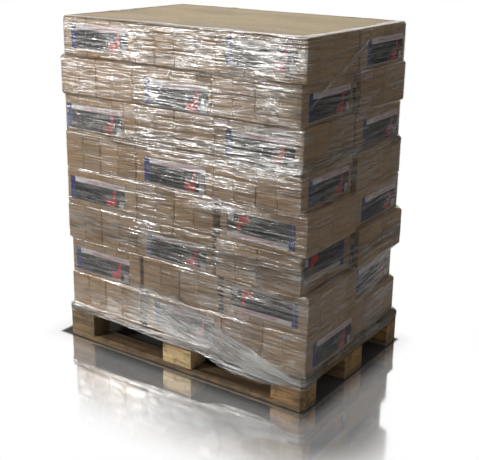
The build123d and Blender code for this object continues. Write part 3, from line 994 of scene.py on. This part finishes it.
# %% Wind the three bands
stretch_film = clear_film("stretch_film", "UV", 0.004, 1.25, 2.9, streak_shade=1.0, wrinkled="wrinkled")
# The foot, the head and how far the head folds in over the card
FILM_ROWS = {
    "film_foot": (0.117, 0.56, 0.0), "film_waist": (0.49, 0.97, 0.0), "film_top": (0.9, LOAD_TOP, 0.03),
}
bands = []
for number, (name, (foot, head, lip)) in enumerate(FILM_ROWS.items(), 1):
    above = (0.3 + 0.9 * (number - 1)) * MM
    band = wind_band(name, foot, head, above, number, stretch_film, lip, hangs=name == "film_foot")
    bands.append(band)
    area = sum(p.area for p in band.data.polygons)
    print(name, len(band.data.polygons), "faces", round(area, 3), "m2")

# %% [markdown]
# ## The gathered tail
# The last half turn slopes down the front to the near corner, and there it is drawn together into
# folds, like a rope. It is a narrow grid along a line over the bands: stations go along the line,
# and across it sharp pleats stand up that bunch closer as the web narrows. The web's real width is
# far more than the rope's, because most of it lies in the folds.

# %% Make the gathered tail and the slanting creases
# Stations from the middle of the front, heights, widths, and how milky the film is there, which also
# sets the strength of its painted highlight and shade streaks
TAIL_LINE = [
    (-0.30, 0.260, 0.13, 0.0), (-0.12, 0.238, 0.19, 0.35), (0.02, 0.213, 0.19, 0.5),
    (0.24, 0.175, 0.12, 1.15), (0.36, 0.140, 0.088, 1.1), (0.473, 0.118, 0.058, 0.8),
    (0.58, 0.112, 0.050, 0.7), (0.63, 0.112, 0.045, 0.5), (0.70, 0.116, 0.030, 0.2),
]
CREASES = {
    "film_crease_left": [
        (0.083, 1.275, 0.010, 0.9), (0.098, 1.235, 0.017, 1.0), (0.118, 1.195, 0.010, 0.7),
    ],
    "film_crease_right": [
        (0.125, 1.165, 0.010, 0.7), (0.145, 1.13, 0.018, 1.0), (0.165, 1.10, 0.010, 0.8),
    ],
    "film_crease_end": [
        (0.60, 1.135, 0.016, 0.1), (0.70, 1.187, 0.02, 0.3),
        (0.85, 1.256, 0.024, 0.4), (1.06, 1.352, 0.02, 0.3),
    ],
}


def on_hull(station, z, off):
    """The point this far outside the film's outline at a station and height."""
    row = np.clip(z / HEIGHT_STEP, 0, len(heights) - 1.001)
    col = np.interp(station, STATIONS, np.arange(len(STATIONS)))
    r, c = row.astype(int), np.minimum(col.astype(int), len(STATIONS) - 2)
    fr, fc = row - r, col - c
    low = hull[r, c] * (1 - fc) + hull[r, c + 1] * fc
    high = hull[r + 1, c] * (1 - fc) + hull[r + 1, c + 1] * fc
    around = np.interp(station, STATIONS, np.unwrap(AROUND))
    reach = low * (1 - fr) + high * fr + off
    return reach * np.cos(around), reach * np.sin(around)


def gather(name, line, pleats, cols, rows, seed):
    """Film drawn together into pleats along a line of stations, heights, widths and milkiness, which
    also sets its painted streaks.
    """
    rng = np.random.default_rng(seed)
    way = np.linspace(0, 1, cols)[None, :]
    line = np.array(line)
    run = np.insert(np.cumsum(np.hypot(*np.diff(line[:, :2], axis=0).T)), 0, 0)
    station, middle, width, milk_and_highlight = (np.interp(way, run / run[-1], values) for values in line.T)
    blunt = cols // 10
    window = np.ones(2 * blunt + 1) / (2 * blunt + 1)
    for values in (middle, width):
        values[0, blunt:-blunt] = np.convolve(values[0], window, "valid")
    across = np.linspace(-0.5, 0.5, rows)[:, None]
    turn = 2 * math.pi
    drift = sum(rng.uniform(0.1, 0.3) * np.sin(turn * (k * way + rng.random())) for k in (1, 2, 3, 5))
    fray = 1 + 0.12 * np.sin(turn * (3 * way + 0.2)) + 0.08 * np.sin(turn * 8 * way)
    z = middle + across * width * fray
    phase = pleats * across + drift + 0.35 * np.sin(5 * across + 9 * way)
    pleat = np.abs(np.sin(math.pi * phase)) ** 0.7
    pleat = pleat + 0.35 * np.abs(np.sin(math.pi * (2.3 * phase + drift)))
    ends = np.clip(way / 0.12, 0, 1) * np.clip((1 - way) / 0.12, 0, 1)
    ease = np.clip((0.5 - np.abs(across)) / 0.1, 0, 1) * ends
    x, y = on_hull(station + CORNER_STATIONS[1] + HALF_X, z, (1.8 + 2.4 * pleat * ease) * MM)
    amount = milk_and_highlight * (0.45 + 0.55 * np.minimum(pleat, 1)) * (0.25 + 0.75 * np.clip(ease * 2, 0, 1))
    piece = film_sheet(name, x, y, z, across * 0.4 + 0 * way, stretch_tail, station[0] + seed, amount)
    area, length = sum(p.area for p in piece.data.polygons), float(run[-1])
    print(name, len(piece.data.polygons), "faces", round(area, 4), "m2", round(length, 2), "m long")
    return piece, area, length


stretch_tail = clear_film("stretch_tail", "UV", 0.0, 2.4, 2.4, streak_shade=0.2, wrinkled="wrinkled")
gathered = [gather("film_tail", TAIL_LINE, 7, 420, 96, 11)]
for seed, (name, line) in enumerate(CREASES.items(), 20):
    gathered.append(gather(name, line, 1, 40, 10, seed))

# %% [markdown]
# ## The flat size of the film
# The flat size of each sheet is worked out here, but it is not passed on. A band is as wide as it is
# tall, with its lip, and its girth long. The tail and the creases are as long as their lines, and as
# wide as their pleated area makes them over that length.

for band, (foot, head, lip) in zip(bands, FILM_ROWS.values()):
    flat = (round(head - foot + lip, 3), round(GIRTH, 2))
for piece, area, length in gathered:
    flat = (round(area / length, 4), round(length, 3))

# %% [markdown]
# ## Floor and light
# The load stands on a pale, polished floor that fades into a white surround. A soft lamp at the
# front left lights the front, and its mirror image in the wrinkles makes the glossy part of the
# streaks. A wider one overhead lights the card, and a dim surround fills the shaded end. The floor
# glows white to the camera, save under the load and just beside it, where it is dull and so takes
# the shadow. Under the load its dull grey is also darker, a painted shade.

# %% The floor
FLOOR_SIZE = 5.0
bm = bmesh.new()
bmesh.ops.create_grid(bm, x_segments=1, y_segments=1, size=FLOOR_SIZE)
mesh = bpy.data.meshes.new("studio_floor")
bm.to_mesh(mesh)
bm.free()
floor = bpy.data.objects.new("studio_floor", mesh)
bpy.context.scene.collection.objects.link(floor)
f = Finish("pale_floor")
spot = f.place()
away = f.add("VectorMath", {0: spot}, operation="LENGTH").outputs["Value"]
# The distance outside the pallet's outline, which reaches a little further on the left
SHADE_SHIFT = 0.02
outline = (PALLET_HALF.x + SHADE_SHIFT, PALLET_HALF.y, 9)
beside = f.add("VectorMath", {0: f.place(shift=(SHADE_SHIFT, 0, 0))}, operation="ABSOLUTE").outputs[0]
beside = f.add("VectorMath", {0: beside, 1: outline}, operation="SUBTRACT").outputs[0]
beside = f.add("VectorMath", {0: beside, 1: (0, 0, 0)}, operation="MAXIMUM").outputs[0]
beside = f.add("VectorMath", {0: beside}, operation="LENGTH").outputs["Value"]
lit = f.math("MULTIPLY", f.spread(beside, 0.0, 0.1), f.add("LightPath").outputs["Is Camera Ray"])
# Under the load the dull floor is painted a darker grey, a painted shade; beside it a lighter one.
grey = f.blend(f.spread(beside, 0.0, 0.03), (0.07, 0.07, 0.07), (0.35, 0.35, 0.35))
dull = f.add("BsdfDiffuse", {"Color": grey})
glow = f.add("Emission", {"Color": (1, 1, 1, 1)})
body = f.mix(lit, dull.outputs[0], glow.outputs[0])
scuffs = f.noise(spot, 4, 3, 0.6)
rough = f.spread(scuffs, 0.3, 0.7, 0.06, 0.1)
polish = f.add("BsdfAnisotropic", {"Color": (1, 1, 1, 1), "Roughness": rough})
mirror = f.spread(beside, 0.2, 0.56, 0.85, 0.0)
mirror = f.math("MULTIPLY", mirror, f.spread(beside, 0.0, 0.02, 0.02, 1.0))
body = f.mix(mirror, body, polish.outputs[0])
gone = f.add("BsdfTransparent")
mesh.materials.append(f.done(f.mix(f.spread(away, 1.0, 1.8), body, gone.outputs[0])))

# %% The surround
world = bpy.data.worlds.new("surround")
bpy.context.scene.world = world
world.use_nodes = True


def surround(tree):
    """White to the eye, a dim fill on dull surfaces, and in a mirror dark save along one diagonal."""
    def add(kind, *inputs, **settings):
        node = tree.nodes.new("ShaderNode" + kind)
        for key, value in settings.items():
            setattr(node, key, value)
        for i, value in enumerate(inputs):
            if isinstance(value, bpy.types.NodeSocket):
                tree.links.new(value, node.inputs[i])
            else:
                node.inputs[i].default_value = value
        return node

    tree.nodes.clear()
    seen = add("Background", (1, 1, 1, 1), 1.0)
    fill = add("Background", (1.0, 0.965, 0.92, 1), 0.34)
    way = add("SeparateXYZ", add("TexCoord").outputs["Generated"])
    behind = add("Math", way.outputs["Y"], way.outputs["X"], operation="SUBTRACT")
    along = add("Math", behind.outputs[0], operation="ABSOLUTE")
    glow = add("MapRange", along.outputs[0], 0.7, 1.1, 0.06, 1.0)
    mirrored = add("Background", (1, 1, 1, 1), glow.outputs[0])
    ray = add("LightPath")
    pick = add("MixShader", ray.outputs["Is Glossy Ray"], fill.outputs[0], mirrored.outputs[0])
    pick = add("MixShader", ray.outputs["Is Camera Ray"], pick.outputs[0], seen.outputs[0])
    add("OutputWorld", pick.outputs[0])


surround(world.node_tree)


# %% The lamps
def soft_lamp(name, place, aim, size, power, tint=(1, 1, 1)):
    """A square soft lamp that shines from place towards aim."""
    data = bpy.data.lights.new(name, "AREA")
    data.shape = "RECTANGLE"
    data.size, data.size_y = size
    data.energy = power
    data.color = tint
    lamp = bpy.data.objects.new(name, data)
    lamp.location = place
    lamp.rotation_euler = (Vector(aim) - Vector(place)).to_track_quat("-Z", "Y").to_euler()
    bpy.context.scene.collection.objects.link(lamp)


soft_lamp("key_lamp", (-2.9, -3.9, 1.75), (0.0, -0.3, 0.75), (1.1, 1.1), 150, (1, 0.985, 0.96))
soft_lamp("top_lamp", (-0.6, 0.2, 4.2), (0, 0, 1.3), (2.4, 2.0), 76)
bpy.context.scene.view_settings.view_transform = "Standard"
